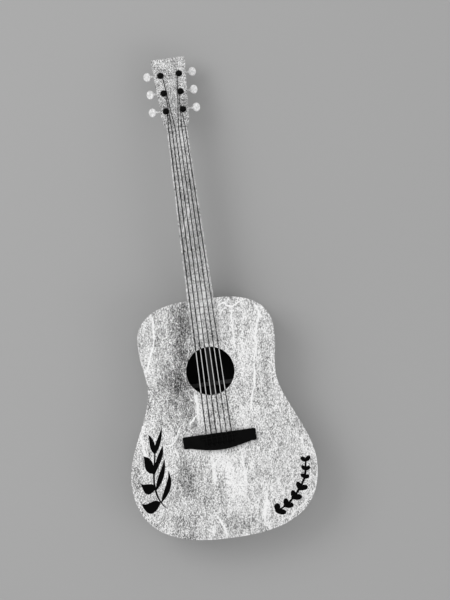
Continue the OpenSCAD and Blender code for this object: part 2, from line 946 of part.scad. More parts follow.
// The post, the gear keyed on its lower end and the screw that holds it
module post_gear(k) {
  low = gear_z - gear_w / 2;
  high = gear_z + gear_w / 2;
  color("#1a1a1a")
    at_post(k) {
      difference() {
        rotate_extrude()
          polygon([
            [1.02, low + 0.3], [2.2, low + 0.3], [2.2, high], [post_r, high], [post_r, 1.35],
            [waist_r, 1.6], [waist_r, 8.4], [post_r, 8.9], [post_r, 9.6], [2.6, 10], [0, 10],
            [0, -head_t], [1.02, -head_t]
          ]);
        translate([-5, 0, 1.7 + 1.1 + 2.4 * (string_d[k - 1] + 0.2)])
          rotate([0, 90, 0])
            cylinder(r = 1, h = 10, $fn = 32);
      }
      translate([0, 0, low + 0.02])
        linear_extrude(gear_w - 0.04)
          difference() {
            gear_shape();
            circle(r = 2.21);
          }
      difference() {
        union() {
          translate([0, 0, low - 1.2]) cylinder(r = 2.9, h = 1.2);
          translate([0, 0, low - 0.1]) cylinder(r = 1, h = 6);
        }
        translate([-4, -0.35, low - 1.6]) cube([8, 0.7, 1]);
      }
    }
}

// ---- nodes ----

soundboard();
back_plate();
side(-1);  // bass_side
side(1);  // treble_side
neck_block();
tail_block();
top_linings();
back_linings();
x_brace(-1);  // x_brace_bass
x_brace(1);  // x_brace_treble
bridge_plate();
upper_brace();
tone_bars();
finger_braces();
back_braces();
back_strip();
neck();
neck_bolts();
truss_rod();
fretboard();
frets();
nut();
heel_cap();
bridge();
saddle();
bridge_pins();
tuner_bushings();
tuner_screws();
for (k = [1:6]) {
  guitar_string(k);
  tuner_plate(k);
  worm_shaft(k);
  button(k);
  post_gear(k);
}
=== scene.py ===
import json
import math
import bmesh
import bpy
from mathutils import Matrix, Vector


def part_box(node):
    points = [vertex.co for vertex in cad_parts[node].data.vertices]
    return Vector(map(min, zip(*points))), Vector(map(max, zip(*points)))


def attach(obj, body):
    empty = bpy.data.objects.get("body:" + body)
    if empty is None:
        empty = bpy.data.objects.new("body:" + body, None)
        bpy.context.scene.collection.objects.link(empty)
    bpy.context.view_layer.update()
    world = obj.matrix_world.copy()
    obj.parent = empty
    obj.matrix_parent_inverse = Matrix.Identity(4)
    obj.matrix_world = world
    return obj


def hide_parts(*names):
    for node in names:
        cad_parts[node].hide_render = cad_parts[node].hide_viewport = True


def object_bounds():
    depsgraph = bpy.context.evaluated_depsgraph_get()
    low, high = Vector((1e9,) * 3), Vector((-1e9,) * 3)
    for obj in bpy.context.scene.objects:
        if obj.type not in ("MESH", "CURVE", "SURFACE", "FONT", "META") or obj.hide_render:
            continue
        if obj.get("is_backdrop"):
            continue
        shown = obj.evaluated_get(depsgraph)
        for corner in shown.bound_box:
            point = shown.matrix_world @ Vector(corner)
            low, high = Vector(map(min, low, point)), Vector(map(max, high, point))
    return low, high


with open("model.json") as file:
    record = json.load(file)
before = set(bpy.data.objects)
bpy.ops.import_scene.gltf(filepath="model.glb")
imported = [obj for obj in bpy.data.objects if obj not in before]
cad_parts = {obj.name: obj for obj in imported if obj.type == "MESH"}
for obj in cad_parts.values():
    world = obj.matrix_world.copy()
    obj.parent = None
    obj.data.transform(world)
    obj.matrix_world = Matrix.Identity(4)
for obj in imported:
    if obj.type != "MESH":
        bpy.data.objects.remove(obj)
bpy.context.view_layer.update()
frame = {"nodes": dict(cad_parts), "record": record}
bodyOf = {node: body for body, nodes in frame["record"]["behaviour"]["bodies"].items() for node in nodes}

mm = 0.001
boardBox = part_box("soundboard")
boardTop = boardBox[1].z
bodyLong = 2 * boardBox[1].y
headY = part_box("nut")[1].y
nutLong = 5 * mm
nutY = headY - nutLong
saddleY = sum(corner.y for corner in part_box("saddle")) / 2
headTilt = math.radians(14)
# lengths that differ by less than this count as equal
hair = 0.01 * mm
courses = range(1, 7)
perSide = len(courses) // 2
stringFan = {"nutGap": 7.12 * mm, "saddleGap": 10.8 * mm}
# the soundhole, a fifth of the body's length from its middle towards the neck
holeRing = {"centre": 0.2 * bodyLong, "radius": 50.8 * mm}


def pick(*pieces):
    if bpy.context.mode != "OBJECT":
        bpy.ops.object.mode_set(mode="OBJECT")
    bpy.ops.object.select_all(action="DESELECT")
    for piece in pieces:
        piece.select_set(True)
    bpy.context.view_layer.objects.active = pieces[0] if pieces else None


def edit(piece):
    pick(piece)
    bpy.ops.object.mode_set(mode="EDIT")
    bpy.ops.mesh.select_all(action="SELECT")


def chooseFaces(piece, rule):
    # in edit mode: only the faces that the rule picks stay selected
    mesh = bmesh.from_edit_mesh(piece.data)
    bpy.ops.mesh.select_all(action="DESELECT")
    for face in mesh.faces:
        face.select_set(bool(rule(face)))
    bmesh.update_edit_mesh(piece.data)


def chooseEdges(piece, rule):
    mesh = bmesh.from_edit_mesh(piece.data)
    bpy.ops.mesh.select_all(action="DESELECT")
    for edge in mesh.edges:
        if rule(edge):
            edge.select_set(True)
    bmesh.update_edit_mesh(piece.data)


def applied(piece, kind, **settings):
    pick(piece)
    modifier = piece.modifiers.new(kind.lower(), kind)
    for key, value in settings.items():
        setattr(modifier, key, value)
    bpy.ops.object.modifier_apply(modifier=modifier.name)


def smooth(piece, angle=35):
    pick(piece)
    bpy.ops.object.shade_smooth_by_angle(angle=math.radians(angle))


def settle(piece):
    # leaves the object at the origin, with its place in its mesh
    pick(piece)
    bpy.ops.object.transform_apply(location=True, rotation=True, scale=True)


def onHead(x, up, out):
    # across the head, up its face from the nut, and off the face
    cosTilt, sinTilt = math.cos(headTilt), math.sin(headTilt)
    return Vector((x, headY + up * cosTilt + out * sinTilt, boardTop - up * sinTilt + out * cosTilt))


def dress(piece, finish, slot, *nodes):
    piece.data.materials.clear()
    piece.data.materials.append(finish)
    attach(piece, bodyOf[nodes[0]])
    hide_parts(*nodes)
    return piece


camera = {"over": (0.0512, 0.2458), "turn": -7.85, "height": 6.0, "covers": 1.2678, "sensor": 36.0}
cameraData = bpy.data.cameras.new("camera")
cameraData.sensor_width = camera["sensor"]
cameraData.lens = camera["sensor"] * camera["height"] / camera["covers"]
cameraObject = bpy.data.objects.new("camera", cameraData)
cameraObject.location = (*camera["over"], boardTop + camera["height"])
cameraObject.rotation_euler = (0, 0, math.radians(camera["turn"]))
bpy.context.scene.collection.objects.link(cameraObject)
bpy.context.scene.camera = cameraObject
bpy.context.scene.view_settings.view_transform = "Standard"


class Wire:
    # a socket of a finish: sums on it add Math nodes, and node() adds any other node
    def __init__(self, tree, socket=None):
        self.tree = tree
        self.socket = socket

    def node(self, kind, settings=None, sockets=None, out=0):
        made = self.tree.nodes.new("ShaderNode" + kind)
        for key, value in (settings or {}).items():
            if key == "curve":
                line = made.mapping.curves[0]
                for place, height in value[1:-1]:
                    line.points.new(place, height)
                line.points[0].location = value[0]
                line.points[-1].location = value[-1]
                made.mapping.update()
            else:
                setattr(made, key, value)
        for key, value in (sockets or {}).items():
            if isinstance(value, Wire):
                self.tree.links.new(value.socket, made.inputs[key])
            else:
                made.inputs[key].default_value = value
        return Wire(self.tree, made.outputs[out] if len(made.outputs) else None)

    def sum(self, operation, first, second=0.0):
        return self.node("Math", {"operation": operation}, {0: first, 1: second})

    def __add__(self, other):
        return self.sum("ADD", self, other)

    __radd__ = __add__

    def __sub__(self, other):
        return self.sum("SUBTRACT", self, other)

    def __rsub__(self, other):
        return self.sum("SUBTRACT", other, self)

    def __mul__(self, other):
        return self.sum("MULTIPLY", self, other)

    def __pow__(self, other):
        return self.sum("POWER", self, other)

    def __abs__(self):
        return self.sum("ABSOLUTE", self)

    def kept(self, low, high):
        return self.sum("MAXIMUM", self.sum("MINIMUM", self, high), low)

    def step(self, low, high, first=0.0, last=1.0):
        # eases from first to last as the value goes from low to high
        sockets = {"Value": self, "From Min": low, "From Max": high, "To Min": first, "To Max": last}
        return self.node("MapRange", {"interpolation_type": "SMOOTHSTEP"}, sockets)

    def part(self, axis):
        # one of X, Y and Z of this vector
        return self.node("SeparateXYZ", {}, {"Vector": self}, axis)

    def vector(self, operation, other=None, out="Vector"):
        sockets = {0: self}
        if other is not None:
            sockets[3 if operation == "SCALE" else 1] = other
        return self.node("VectorMath", {"operation": operation}, sockets, out)

    def noise(self, cell, seed, detail=2.0, roughness=0.5, turn=0.0, out=0):
        # noise on this vector, in cells of this size in millimetres; each seed reads another part of it
        size = tuple(c * mm for c in cell)
        place = {"Vector": self, "Rotation": (0, 0, math.radians(turn)), "Scale": size}
        local = self.node("Mapping", {"vector_type": "TEXTURE"}, place, "Vector")
        moved = local.vector("ADD", (seed * 3.7, seed * 5.3, seed * 2.9))
        look = {"Vector": moved, "Scale": 1.0, "Detail": detail, "Roughness": roughness}
        return self.node("TexNoise", {}, look, out)


def startFinish(name):
    material = bpy.data.materials.new(name)
    material.use_nodes = True
    material.node_tree.nodes.clear()
    wire = Wire(material.node_tree)
    return material, wire, wire.node("TexCoord", out="Object")


def closeFinish(wire, colour, roughness, height, bump, spec, metallic=0.0):
    # bump is how far the height stands out, in millimetres
    normal = wire.node("Bump", {}, {"Strength": 1.0, "Distance": bump * mm, "Height": height}, "Normal")
    shader = wire.node("BsdfPrincipled", {}, {
        "Base Color": colour, "Roughness": roughness, "Normal": normal,
        "Specular IOR Level": spec, "Metallic": metallic,
    }, "BSDF")
    wire.node("OutputMaterial", {}, {"Surface": shader})


# places and sizes in metres, with the floor's cell and bump in millimetres
studio = {
    "floorSize": 30.0, "floorCell": (900, 900, 900), "floor": 0.40, "floorDrift": 0.02, "floorRough": 0.9,
    "floorBump": 0.1, "floorSpec": 0.1, "sky": 0.72, "skySeen": 0.44, "aim": (0, 0.2, 0.1),
    "lampSize": 2.4, "lamps": (("keyLight", (-2.2, 1.8, 3.4), 51.0), ("fillLight", (2.6, -1.6, 3.0), 18.0)),
}


def makeFloor():
    bpy.ops.mesh.primitive_plane_add(size=studio["floorSize"], location=(0, 0, 0))
    floor = bpy.context.object
    floor.name = "floor"
    material, wire, point = startFinish("floorPaint")
    drift = studio["floorDrift"]
    tone = point.noise(studio["floorCell"], 1, detail=1.0) * drift + (studio["floor"] - drift / 2)
    closeFinish(wire, tone, studio["floorRough"], tone, studio["floorBump"], studio["floorSpec"])
    floor.data.materials.append(material)
    floor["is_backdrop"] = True


def makeLights():
    world = bpy.data.worlds.new("studio")
    bpy.context.scene.world = world
    world.use_nodes = True
    world.node_tree.nodes.clear()
    wire = Wire(world.node_tree)
    seen = wire.node("LightPath", out="Is Camera Ray") + wire.node("LightPath", out="Is Glossy Ray")
    seen = (seen + wire.node("LightPath", out="Is Transmission Ray")).kept(0.0, 1.0)
    strength = seen * (studio["skySeen"] - studio["sky"]) + studio["sky"]
    sky = wire.node("Background", {}, {"Color": (1, 1, 1, 1), "Strength": strength}, "Background")
    wire.node("OutputWorld", {}, {"Surface": sky})
    for name, place, power in studio["lamps"]:
        lamp = bpy.data.lights.new(name, "AREA")
        lamp.size = studio["lampSize"]
        lamp.energy = power
        holder = bpy.data.objects.new(name, lamp)
        holder.location = place
        ahead = Vector(studio["aim"]) - Vector(place)
        holder.rotation_euler = ahead.to_track_quat("-Z", "Y").to_euler()
        bpy.context.scene.collection.objects.link(holder)


pick()
makeFloor()
makeLights()
print("camera, floor and lights ready")


# cells and reach in millimetres, and turn in degrees
specks = {
    "turn": camera["turn"], "coarse": (1.6, 4.2, 2.4), "fine": (1.05, 1.9, 1.4), "patch": (9, 22, 12),
    "cloud": (40, 62, 42), "streak": (13, 110, 20),
}
wander = {"cell": (22, 34, 22), "reach": 16}


def worn(point):
    # the same place, nudged about, so that edges of marks wander
    nudge = point.noise(wander["cell"], 4, detail=3.0, roughness=0.6, out="Color")
    nudge = nudge.vector("SUBTRACT", (0.5, 0.5, 0.5))
    return point.vector("ADD", nudge.vector("SCALE", wander["reach"] * mm))


def mottle(point, look):
    # the uneven coat of white paint as a tone around zero, and its speckle by itself
    seed = look["seed"]
    turn = specks["turn"]
    coarse = point.noise(specks["coarse"], seed, detail=1.5, roughness=0.6, turn=turn) - 0.5
    fine = point.noise(specks["fine"], seed + 1, detail=1.0, turn=turn) - 0.5
    patch = point.noise(specks["patch"], seed + 2, turn=turn) - 0.5
    cloud = point.noise(specks["cloud"], seed + 3, detail=1.0, turn=turn) - 0.5
    streak = point.noise(specks["streak"], seed + 5) - 0.5
    grit = coarse * look["speck"] + fine * look["grit"]
    return grit + patch * look["patch"] + cloud * look["cloud"] + streak * look["streak"], grit


patchEdge = {"clear": 1.15, "full": 0.25}


def shade(point, centre, radii):
    # 1 at the middle of a soft oval patch, 0 outside it
    offset = point.vector("SUBTRACT", (centre[0] * mm, centre[1] * mm, 0))
    flat = offset.vector("MULTIPLY", (1 / (radii[0] * mm), 1 / (radii[1] * mm), 0))
    return flat.vector("LENGTH", out="Value").step(patchEdge["clear"], patchEdge["full"])


# reach in millimetres; solid is a share of a line's width, and it fades from past its ends to short of them,
# as shares of twice the reach
veinLook = {"reach": 300, "solid": 0.3, "past": 0.004, "short": 0.012}


def vein(point, path, width, upright=True):
    # 1 on a thin line through the path's points, given in millimetres up to the reach from the middle
    reach = veinLook["reach"]
    past, short = veinLook["past"], veinLook["short"]
    across, along = ("X", "Y") if upright else ("Y", "X")
    ordered = sorted(((p[1], p[0]) if upright else p) for p in path)
    curve = [((a + reach) / (2 * reach), (b + reach) / (2 * reach)) for a, b in ordered]
    share = point.part(along) * (1 / (2 * reach * mm)) + 0.5
    middle = point.node("FloatCurve", {"curve": curve}, {"Value": share})
    gap = abs(point.part(across) - (middle - 0.5) * (2 * reach * mm))
    start, end = curve[0][0], curve[-1][0]
    ends = share.step(start - past, start + short) * share.step(end + past, end - short)
    return gap.step(width * mm, width * mm * veinLook["solid"]) * ends


# the lines of dirt and painted string shadow under the strings: shares of the string spacing, and saddleFade
# in millimetres
grimeAndShadowLook = {"clear": 0.20, "full": 0.05, "sideFade": 0.1, "saddleFade": 6}


def grimeAndStringShadow(point):
    # 1 on the lines under the six strings, from the saddle up: partly dirt, partly painted shadow of the
    # strings
    x, y = point.part("X"), point.part("Y")
    spread = (stringFan["saddleGap"] - stringFan["nutGap"]) / (nutY - saddleY)
    place = x.sum("DIVIDE", x, (nutY - y) * spread + stringFan["nutGap"])
    edge = len(courses) / 2
    line = abs(place.sum("FRACT", place + edge) - 0.5).step(grimeAndShadowLook["clear"], grimeAndShadowLook["full"])
    inside = abs(place).step(edge, edge - grimeAndShadowLook["sideFade"])
    return line * inside * y.step(saddleY, saddleY + grimeAndShadowLook["saddleFade"] * mm)


# tones are given as they are seen, and this power turns them into light
toLight = 2.2
coat = {
    "darkest": 0.10, "whitest": 0.98, "stainAndShade": 0.05, "rough": 0.78, "shine": 0.22, "spec": 0.25,
    "chip": (3, 7, 4), "chipDeep": 0.3, "chipEdge": 0.5, "chipped": 0.7, "lineGrit": 0.4, "grainGrit": 0.5,
}


def paintedWood(name, look):
    material, wire, point = startFinish(name)
    loose = worn(point)
    speckle, grit = mottle(point, look)
    tone = speckle + look["tone"]
    for centre, radii, amount in look.get("shades", ()):
        tone = tone + shade(loose, centre, radii) * amount
    # darker lines under the strings: partly dirt, partly painted shadow of the strings
    if "grimeAndStringShadow" in look:
        tone = tone - grimeAndStringShadow(point) * look["grimeAndStringShadow"]
    lines = None
    for path, width, amount, upright in look.get("veins", ()):
        line = vein(loose, path, width, upright) * amount
        lines = line if lines is None else lines + line
    if lines is not None:
        chips = point.noise(coat["chip"], look["seed"] + 9, roughness=0.6)
        lines = lines.kept(0.0, 1.0) * chips.step(coat["chipDeep"], coat["chipEdge"], coat["chipped"], 1.0)
        tone = tone + lines * (coat["whitest"] - tone)
        grit = grit + lines * coat["lineGrit"]
    if "grain" in look:
        rings = point.noise(look["grain"], look["seed"] + 6, detail=3.0, roughness=0.6) - 0.5
        tone = tone + rings * look["grainDepth"]
        grit = grit + rings * coat["grainGrit"]
    tone = tone.kept(coat["darkest"], coat["whitest"])
    # inside the body the tone goes down to a dark stain, which also stands in for the shade seen through the
    # soundhole
    if "inside" in look:
        tone = tone - look["inside"](point) * (tone - coat["stainAndShade"])
    rough = coat["rough"] - tone * coat["shine"]
    closeFinish(wire, tone ** toLight, rough, grit, look["bump"], coat["spec"])
    return material


# flat and tilted are upright parts of the way a surface faces, and the rest is in millimetres
insideLook = {"tilted": 0.4, "flat": 0.6, "rimOut": 0.5, "rimIn": 0.1, "wallOut": 1, "wallIn": 4}


def facing(point):
    # which way the surface looks at this place
    return point.node("NewGeometry", out="Normal")


def fromHole(point):
    # how far the place is from the soundhole's middle, seen from above
    offset = point.vector("SUBTRACT", (0, holeRing["centre"], 0)).vector("MULTIPLY", (1, 1, 0))
    return offset.vector("LENGTH", out="Value")


def insideTop(point):
    # the soundboard's underside and the wall of its hole are stained dark, a dark stain that also stands in
    # for the shade inside the soundhole
    down = facing(point).part("Z").step(-insideLook["tilted"], -insideLook["flat"])
    outer, inner = insideLook["rimOut"] * mm, insideLook["rimIn"] * mm
    rim = fromHole(point).step(holeRing["radius"] + outer, holeRing["radius"] + inner)
    return down.sum("MAXIMUM", down, rim)


def insideBack(point):
    # the back plate's upper face is stained dark, which also stands in for the shade inside the body
    return facing(point).part("Z").step(insideLook["tilted"], insideLook["flat"])


def insideSide(point):
    # the inner wall faces the middle of the body, and is darkened there: a dark stain that also stands in
    # for the shade inside the body
    out = facing(point).vector("DOT_PRODUCT", point.vector("MULTIPLY", (1, 1, 0)), "Value")
    return out.step(-insideLook["wallOut"] * mm, -insideLook["wallIn"] * mm)


topLook = {
    "seed": 2, "tone": 0.83, "speck": 1.5, "grit": 1.85, "patch": 0.52, "cloud": 0.26, "streak": 0.36,
    "bump": 0.2, "inside": insideTop, "grimeAndStringShadow": 0.42,
    "shades": (
        ((-42, 228), (36, 62), -0.19), ((-45, 172), (32, 66), -0.19), ((-62, 112), (28, 76), -0.20),
        ((-84, 46), (64, 82), -0.20), ((-80, 150), (74, 124), -0.10), ((-80, -112), (28, 66), -0.19),
        ((-100, -228), (48, 46), -0.19), ((-60, -150), (70, 70), -0.08), ((-150, 60), (30, 60), -0.07),
        ((-160, -110), (40, 90), -0.08), ((10, 30), (30, 40), -0.07), ((-6, -85), (26, 44), 0.20),
        ((22, -140), (26, 60), 0.20), ((-125, 130), (20, 52), 0.12), ((-37, 20), (9, 46), 0.26),
        ((-10, 195), (8, 45), 0.18), ((75, -200), (9, 52), 0.18), ((60, 0), (25, 25), 0.05),
        ((110, -60), (50, 80), -0.05), ((20, -225), (66, 28), -0.14), ((70, 110), (50, 100), 0.03),
    ),
    "veins": (
        (((30, 235), (45, 240), (58, 232), (65, 230), (80, 240), (95, 243)), 3.0, 1.0, False),
        (((63, 228), (60, 200), (60, 165), (57, 140)), 3.0, 0.95, True),
        (((112, 232), (117, 215), (113, 190), (103, 160), (97, 120), (92, 90), (86, 55), (78, 25), (72, 5)),
         3.0, 1.0, True),
        (((-107, 235), (-108, 200), (-110, 180), (-122, 150), (-130, 130), (-138, 112)), 3.2, 0.95, True),
        (((-37, 60), (-38, 30), (-40, 15), (-52, 5), (-60, -10)), 4.2, 1.0, True),
        (((-75, 0), (-87, -15), (-95, -35), (-110, -43), (-118, -40)), 3.2, 1.0, False),
        (((-96, -48), (-94, -60), (-90, -74)), 3.0, 0.85, True),
        (((-20, -75), (-22, -140)), 3.6, 0.8, True), (((40, -60), (42, -110), (40, -175)), 3.6, 0.8, True),
        (((84, -165), (75, -205), (70, -240)), 4.0, 0.85, True),
        (((-25, -205), (-18, -228), (-10, -250)), 3.0, 1.0, True),
        (((-32, -215), (-40, -240)), 3.0, 0.8, True),
        (((-166, -10), (-160, -50), (-163, -80)), 3.2, 0.9, True),
        (((196, -88), (195, -145), (175, -185), (157, -201), (116, -236)), 3.0, 0.8, True),
    ),
}
backLook = {
    "seed": 12, "tone": 0.79, "speck": 1.5, "grit": 1.8, "patch": 0.52, "cloud": 0.34, "streak": 0.42,
    "bump": 0.2, "inside": insideBack,
    "shades": (
        ((70, 150), (60, 110), -0.12), ((-90, -90), (70, 90), -0.10), ((60, -190), (60, 50), -0.08),
        ((-60, 120), (40, 90), 0.07), ((0, -40), (60, 60), 0.06),
    ),
    "veins": (
        (((-60, 210), (-66, 150), (-58, 90), (-70, 30)), 3.2, 0.9, True),
        (((80, 20), (88, -50), (76, -120), (90, -180)), 3.2, 0.9, True),
    ),
}
sideLook = {
    "seed": 22, "tone": 0.78, "speck": 1.35, "grit": 1.5, "patch": 0.48, "cloud": 0.30, "streak": 0.24,
    "bump": 0.2, "inside": insideSide, "grain": (60, 60, 1.6), "grainDepth": 0.22,
}
neckLook = {
    "seed": 32, "tone": 0.725, "speck": 1.6, "grit": 2.0, "patch": 0.52, "cloud": 0.16, "streak": 0.12,
    "bump": 0.2, "shades": (((30, 665), (18, 40), -0.10),),
}
boardLook = {
    "seed": 42, "tone": 0.78, "speck": 1.5, "grit": 1.7, "patch": 0.56, "cloud": 0.30, "streak": 0.24,
    "bump": 0.2, "grimeAndStringShadow": topLook["grimeAndStringShadow"],
    "shades": (
        ((0, 575), (30, 60), 0.06), ((14, 420), (10, 90), -0.10), ((-4, 235), (26, 90), 0.12),
        ((8, 597), (5, 26), 0.25), ((-3, 590), (4, 18), 0.22),
    ),
    "veins": (
        (((10, 272), (4, 248), (-6, 215), (-8, 190), (-13, 164)), 5.0, 1.0, True),
        (((-16, 458), (-17, 430), (-17, 400)), 4.0, 0.9, True),
    ),
}
# the near-black stain of the pieces inside the body, which also stands in for the shade inside it
innerLook = {
    "tone": 0.085, "ringShare": 0.9, "blotchShare": 0.5, "evenShare": 0.3, "grain": (1.4, 30, 1.4),
    "blotch": (30, 40, 30), "rough": 0.82, "ringShine": 0.1, "spec": 0.1, "bump": 0.12,
}


def darkStainAndShadeWood(name, look):
    # bare wood stained nearly black, with its grain still just raised; the dark stain also stands in for the
    # shade inside the body
    material, wire, point = startFinish(name)
    rings = point.noise(look["grain"], 3, detail=4.0, roughness=0.6)
    blotch = point.noise(look["blotch"], 5)
    base = look["tone"]
    tone = rings * (base * look["ringShare"]) + blotch * (base * look["blotchShare"])
    tone = tone + base * look["evenShare"]
    rough = look["rough"] - rings * look["ringShine"]
    closeFinish(wire, tone, rough, rings, look["bump"], look["spec"])
    return material


ebonyLook = {
    "pores": (16, 0.6, 0.6), "shut": 0.62, "open": 0.8, "blotch": (24, 12, 12), "rub": (2.5, 2.5, 2.5),
    "tone": 0.0012, "poreTone": 0.003, "blotchTone": 0.002, "rough": 0.5, "poreRough": 0.15,
    "rubRough": 0.1, "bump": 0.05, "spec": 0.06,
}


def ebony(name):
    # black wood, with fine pores that run along the bridge
    material, wire, point = startFinish(name)
    pores = point.noise(ebonyLook["pores"], 6, detail=3.0, roughness=0.65)
    blotch = point.noise(ebonyLook["blotch"], 7)
    rub = point.noise(ebonyLook["rub"], 8, detail=3.0)
    opened = pores.step(ebonyLook["shut"], ebonyLook["open"])
    tone = opened * ebonyLook["poreTone"] + blotch * ebonyLook["blotchTone"]
    tone = tone + ebonyLook["tone"]
    rough = ebonyLook["rough"] + pores * ebonyLook["poreRough"] + rub * ebonyLook["rubRough"]
    closeFinish(wire, tone, rough, pores, ebonyLook["bump"], ebonyLook["spec"])
    return material


plasticLook = {"blotch": (3.2, 4.4, 3.2), "scuff": (0.5, 1.2, 0.5), "share": 0.5, "rub": 0.16, "bump": 0.03}


def plastic(name, tone, spread, rough, spec):
    # moulded plastic, a little mottled and rubbed; both noises are a half on average, and that is taken off
    material, wire, point = startFinish(name)
    blotch = point.noise(plasticLook["blotch"], 9, roughness=0.6)
    scuff = point.noise(plasticLook["scuff"], 10, roughness=0.6)
    share = plasticLook["share"]
    shown = blotch * spread + scuff * (spread * share) + (tone - spread * (1 + share) / 2)
    rough = rough + scuff * plasticLook["rub"] - plasticLook["rub"] / 2
    closeFinish(wire, shown ** toLight, rough, scuff, plasticLook["bump"], spec)
    return material


metalLook = {
    "dull": (2.2, 2.2, 2.2), "clean": 0.5, "dulled": 0.75, "base": 0.86, "brushTone": 0.16, "dullTone": 0.12,
    "brushRough": 0.1, "dullRough": 0.12, "bump": 0.01,
}


def metal(name, tone, rough, brush, metallic=1.0, spec=0.5):
    # plated or bare metal with fine brushing and dull spots
    material, wire, point = startFinish(name)
    lines = point.noise(brush, 11, roughness=0.6)
    dull = point.noise(metalLook["dull"], 12, detail=3.0, roughness=0.6)
    shown = tone * metalLook["base"] + lines * (tone * metalLook["brushTone"])
    shown = shown + dull * (tone * metalLook["dullTone"])
    spots = dull.step(metalLook["clean"], metalLook["dulled"])
    rough = rough + lines * metalLook["brushRough"] + spots * metalLook["dullRough"]
    closeFinish(wire, shown, rough, lines, metalLook["bump"], spec, metallic)
    return material


# the coat is worn off from bareOut outside the hole's edge to bareIn inside it, in millimetres
wireLook = {
    "dirt": (1.2, 9, 1.2), "bareOut": 1, "bareIn": 2, "bareTone": 0.42, "dirtTone": 0.55,
    "coatTone": 0.0025, "coatDirt": 0.002, "rough": 0.46, "bareShine": 0.1, "dirtRough": 0.1,
    "winding": 0.42, "woundBump": 0.05, "plainBump": 0.004, "spec": 0.10,
}


def stringWire(name, wound):
    # blackened string, worn to bare steel over the soundhole
    material, wire, point = startFinish(name)
    outer, inner = wireLook["bareOut"] * mm, wireLook["bareIn"] * mm
    bare = fromHole(point).step(holeRing["radius"] + outer, holeRing["radius"] - inner)
    phase = point.part("Y") * (2 * math.pi / (wireLook["winding"] * mm))
    turns = phase.sum("SINE", phase)
    dirt = point.noise(wireLook["dirt"], 13, detail=3.0, roughness=0.6)
    rubbed = bare * (wireLook["bareTone"] + dirt * wireLook["dirtTone"])
    tone = rubbed + wireLook["coatTone"] + dirt * wireLook["coatDirt"]
    rough = wireLook["rough"] - bare * wireLook["bareShine"] + dirt * wireLook["dirtRough"]
    bump = wireLook["woundBump" if wound else "plainBump"]
    closeFinish(wire, tone, rough, turns, bump, wireLook["spec"])
    return material


finishes = {
    "top": paintedWood("whiteTop", topLook),
    "back": paintedWood("whiteBack", backLook),
    "side": paintedWood("whiteSide", sideLook),
    "neck": paintedWood("whiteNeck", neckLook),
    "board": paintedWood("whiteBoard", boardLook),
    "inner": darkStainAndShadeWood("darkInner", innerLook),
    "ebony": ebony("blackWood"),
    "blackPlastic": plastic("blackPlastic", tone=0.055, spread=0.02, rough=0.5, spec=0.08),
    "print": plastic("blackPrint", tone=0.05, spread=0.02, rough=0.7, spec=0.05),
    "bone": plastic("nutBone", tone=0.74, spread=0.14, rough=0.55, spec=0.3),
    "button": plastic("buttonPlastic", tone=0.90, spread=0.6, rough=0.4, spec=0.4),
    "fret": metal("fretMetal", tone=0.50, rough=0.45, brush=(4, 0.4, 0.4), metallic=0.0, spec=0.3),
    "plate": metal("platedMetal", tone=0.55, rough=0.3, brush=(0.4, 5, 0.4)),
    "shaft": metal("shaftMetal", tone=0.88, rough=0.4, brush=(5, 0.3, 0.3), metallic=0.2),
    "post": metal("blackPost", tone=0.004, rough=0.45, brush=(0.5, 0.5, 3), metallic=0.0, spec=0.08),
    "steel": metal("rodSteel", tone=0.3, rough=0.45, brush=(0.5, 8, 0.5)),
    "bolt": metal("boltMetal", tone=0.35, rough=0.4, brush=(2, 2, 0.3)),
    "plain": stringWire("plainString", wound=False),
    "wound": stringWire("woundString", wound=True),
}
print("finishes mixed:", len(finishes))


easing = {"weld": 0.002, "flat": 0.3, "steps": 2}


def eased(node, finish, slot, edge=0.0, angle=35):
    # a node carried over from the frame, with its edges eased
    piece = bpy.data.objects.new(node + "_finished", frame["nodes"][node].data.copy())
    bpy.context.scene.collection.objects.link(piece)
    edit(piece)
    bpy.ops.mesh.customdata_custom_splitnormals_clear()
    bpy.ops.mesh.remove_doubles(threshold=easing["weld"] * mm)
    if edge:
        bpy.ops.mesh.dissolve_limited(angle_limit=math.radians(easing["flat"]))
        limit = {"limit_method": "ANGLE", "angle_limit": math.radians(angle)}
        applied(piece, "BEVEL", width=edge * mm, segments=easing["steps"], **limit)
    smooth(piece, angle)
    return dress(piece, finishes[finish], slot, node)


# how far edges are eased, in millimetres
bodyEdges = {
    "plate": 0.9, "side": 0.15, "neck": 0.5, "board": 0.15, "nut": 0.25, "bridge": 0.5, "saddle": 0.2,
    "cap": 0.4,
}

eased("soundboard", "top", "top_wood", bodyEdges["plate"])
eased("back_plate", "back", "body_wood", bodyEdges["plate"])
eased("bass_side", "side", "body_wood", bodyEdges["side"])
eased("treble_side", "side", "body_wood", bodyEdges["side"])
eased("neck", "neck", "neck_wood", bodyEdges["neck"])
eased("fretboard", "board", "board_wood", bodyEdges["board"])
eased("frets", "fret", "fret_metal", angle=50)
eased("nut", "bone", "nut_bone", bodyEdges["nut"])
eased("heel_cap", "ebony", "black_wood", bodyEdges["cap"])
eased("bridge", "ebony", "black_wood", bodyEdges["bridge"])
eased("saddle", "blackPlastic", "black_plastic", bodyEdges["saddle"])
eased("bridge_pins", "blackPlastic", "black_plastic")
print("body, neck and bridge finished")

# the pieces inside the body take the near-black stain, which also stands in for the shade inside it
innerFinish = {
    "inner": ("neck_block", "tail_block", "top_linings", "back_linings", "bridge_plate", "upper_brace",
              "x_brace_bass", "x_brace_treble", "tone_bars", "finger_braces", "back_braces", "back_strip"),
    "steel": ("truss_rod",),
    "bolt": ("neck_bolts",),
}
for finish, names in innerFinish.items():
    for name in names:
        for held in frame["nodes"][name].material_slots:
            held.material = finishes[finish]
print("inside stained")


headEdges = {"bushing": 0.35, "plate": 0.2, "post": 0.2}

